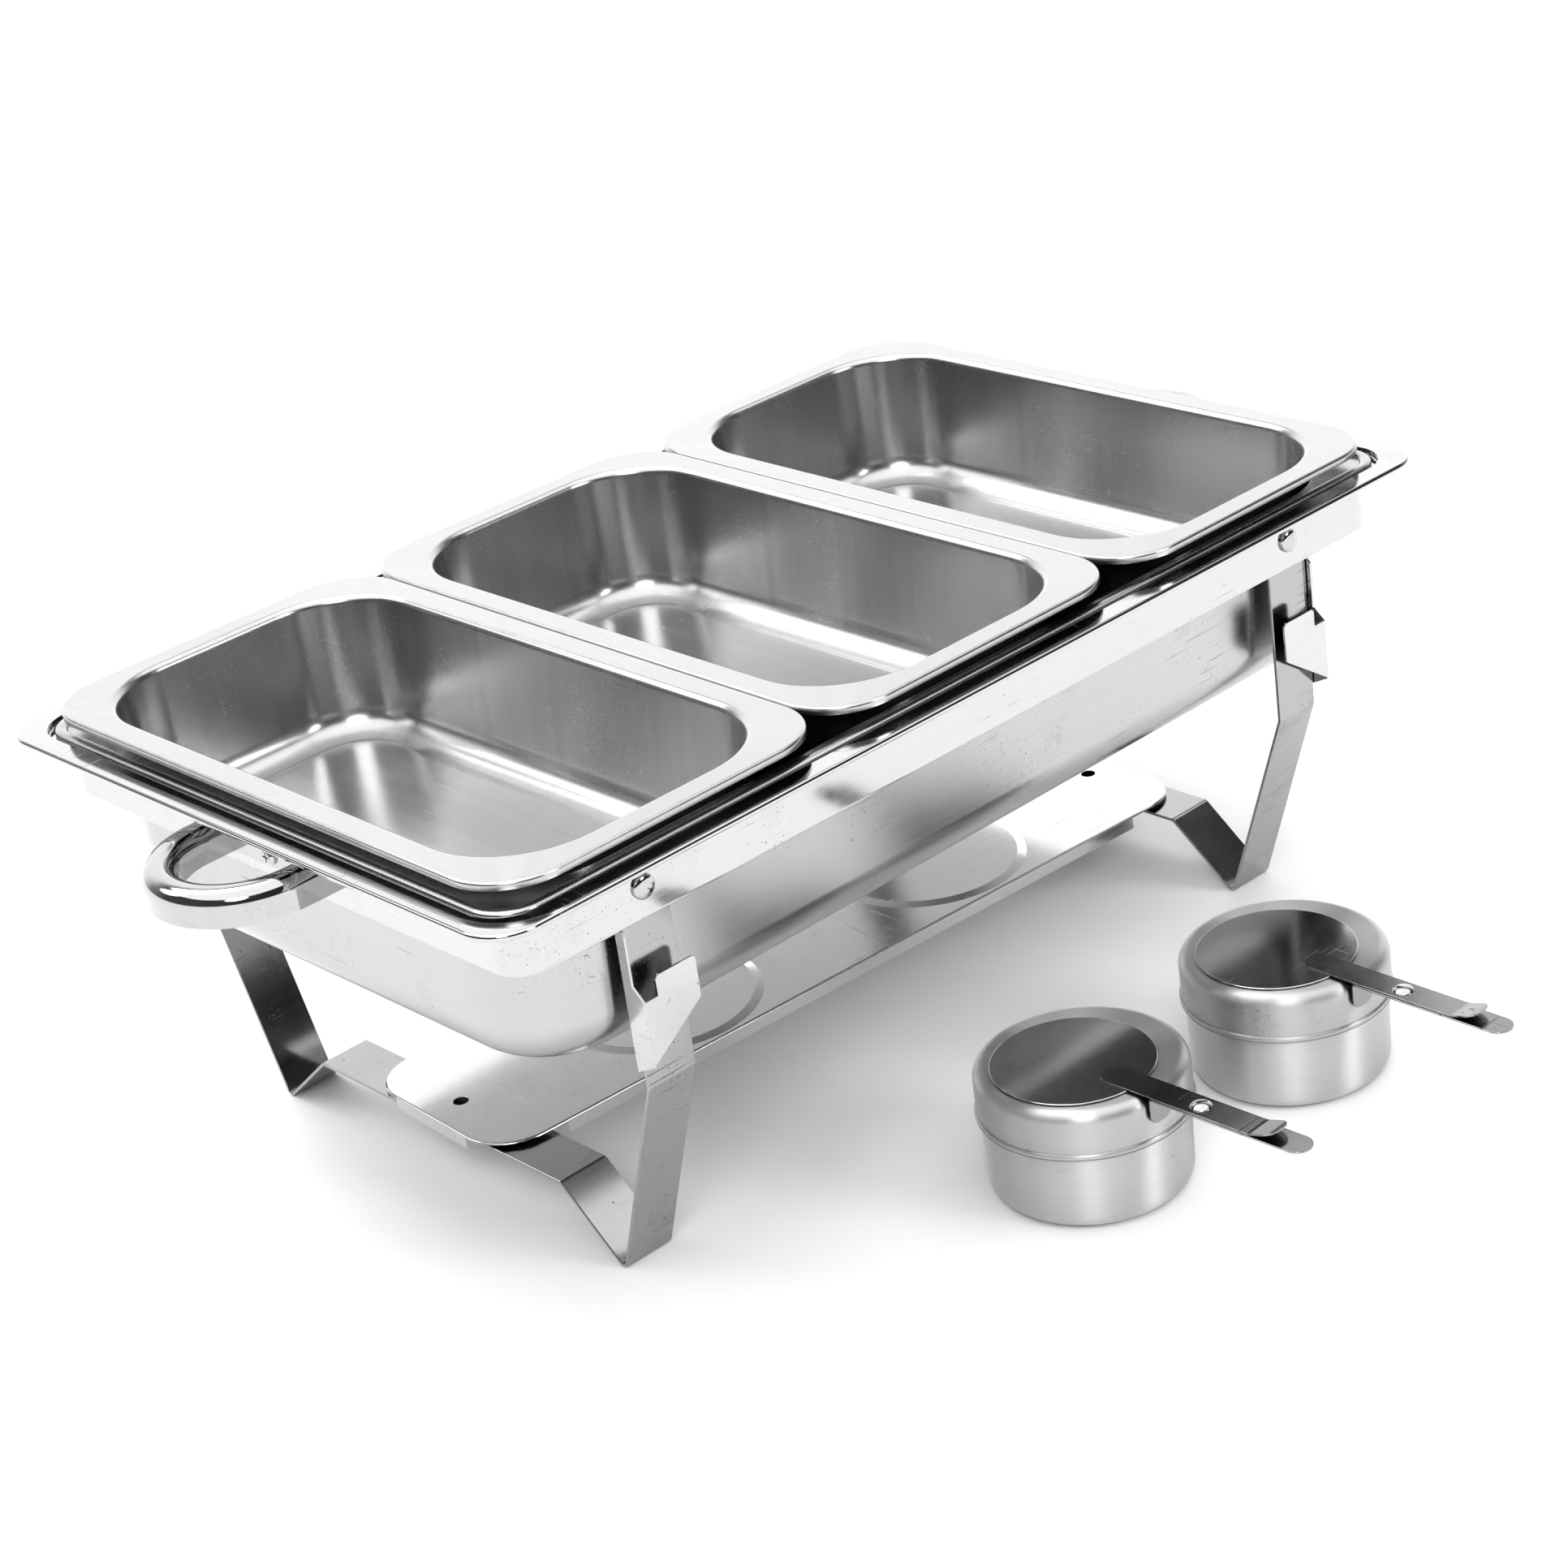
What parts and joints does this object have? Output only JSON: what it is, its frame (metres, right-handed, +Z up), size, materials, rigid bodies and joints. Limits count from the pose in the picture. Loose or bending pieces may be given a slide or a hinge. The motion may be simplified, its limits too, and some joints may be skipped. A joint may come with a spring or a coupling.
{
  "type": "chafing dish food warmer",
  "caption": "Stainless chafing dish on folding strip legs, with water pan, divided food pans, fuel shelf and lidded fuel holders with swing dampers.",
  "frame": {"origin": "middle of the set's footprint, on the table under it", "axes": "+X along the dish towards its right handle, +Y from the fuel holders towards the dish's back, +Z up"},
  "size_m": [0.629, 0.5382, 0.2126],
  "materials": {
    "mirror_steel": "polished stainless with fine scratches",
    "satin_steel": "satin stainless",
    "pan_steel": "bright stainless, satin inside",
    "chrome": "bright polish",
    "can_steel": "fine horizontal brushing",
    "lid_steel": "rolled sheet with scuffs",
    "dark_steel": "bright rolled strip"
  },
  "bodies": {
    "dish_frame": {"rim_frame": "mirror_steel", "leg_pivot_rivets": "mirror_steel", "leg_bracket_front_left": "mirror_steel", "leg_bracket_front_right": "mirror_steel", "leg_bracket_back_left": "mirror_steel", "leg_bracket_back_right": "mirror_steel", "end_handle_left": "chrome", "end_handle_right": "chrome", "handle_screws": "chrome"},
    "left_legs": {"leg_frame_left": "mirror_steel"},
    "right_legs": {"leg_frame_right": "mirror_steel"},
    "shelf": {"fuel_shelf": "mirror_steel"},
    "water_pan": {"water_pan": "satin_steel"},
    "food_pan_left": {"food_pan_left": "pan_steel"},
    "food_pan_middle": {"food_pan_middle": "pan_steel"},
    "food_pan_right": {"food_pan_right": "pan_steel"},
    "front_can": {"front_fuel_can": "can_steel"},
    "front_lid": {"front_fuel_lid": "lid_steel", "front_lid_grip": "dark_steel", "front_damper_rivet": "chrome"},
    "front_damper": {"front_damper_disc": "lid_steel", "front_damper_arm": "dark_steel"},
    "back_can": {"back_fuel_can": "can_steel"},
    "back_lid": {"back_fuel_lid": "lid_steel", "back_lid_grip": "dark_steel", "back_damper_rivet": "chrome"},
    "back_damper": {"back_damper_disc": "lid_steel", "back_damper_arm": "dark_steel"}
  },
  "joints": [
    {"name": "water_pan_lift", "type": "slide", "parent": "dish_frame", "child": "water_pan", "axis": [0, 0, 1], "range_m": [0, 0.2513]},
    {"name": "left_legs_fold", "type": "hinge", "parent": "dish_frame", "child": "left_legs", "pos_m": [-0.195, 0.09405, 0.1855], "axis": [0, -1, 0], "range_deg": [0, 90]},
    {"name": "right_legs_fold", "type": "hinge", "parent": "dish_frame", "child": "right_legs", "pos_m": [0.195, 0.09405, 0.1855], "axis": [0, 1, 0], "range_deg": [0, 90]},
    {"name": "shelf_lift", "type": "slide", "parent": "dish_frame", "child": "shelf", "axis": [0, 0, 1], "range_m": [0, 0.2513]},
    {"name": "food_pan_left_lift", "type": "slide", "parent": "water_pan", "child": "food_pan_left", "axis": [0, 0, 1], "range_m": [0, 0.12]},
    {"name": "food_pan_middle_lift", "type": "slide", "parent": "water_pan", "child": "food_pan_middle", "axis": [0, 0, 1], "range_m": [0, 0.12]},
    {"name": "food_pan_right_lift", "type": "slide", "parent": "water_pan", "child": "food_pan_right", "axis": [0, 0, 1], "range_m": [0, 0.12]},
    {"name": "front_can_lift", "type": "slide", "parent": "dish_frame", "child": "front_can", "axis": [0, 0, 1], "range_m": [0, 0.05]},
    {"name": "front_lid_lift", "type": "slide", "parent": "front_can", "child": "front_lid", "axis": [0, 0, 1], "range_m": [0, 0.03]},
    {"name": "front_damper_swing", "type": "hinge", "parent": "front_lid", "child": "front_damper", "pos_m": [-0.0441, -0.20495, 0.058], "axis": [0, 0, 1], "range_deg": [0, 86]},
    {"name": "back_can_lift", "type": "slide", "parent": "dish_frame", "child": "back_can", "axis": [0, 0, 1], "range_m": [0, 0.05]},
    {"name": "back_lid_lift", "type": "slide", "parent": "back_can", "child": "back_lid", "axis": [0, 0, 1], "range_m": [0, 0.03]},
    {"name": "back_damper_swing", "type": "hinge", "parent": "back_lid", "child": "back_damper", "pos_m": [0.07305, -0.21507, 0.058], "axis": [0, 0, -1], "range_deg": [0, 86]}
  ],
  "couplings": [
    {"joint": "left_legs_fold", "follows": "water_pan_lift", "rad_per_m": 6.25},
    {"joint": "right_legs_fold", "follows": "water_pan_lift", "rad_per_m": 6.25},
    {"joint": "shelf_lift", "follows": "water_pan_lift", "ratio": 1}
  ]
}
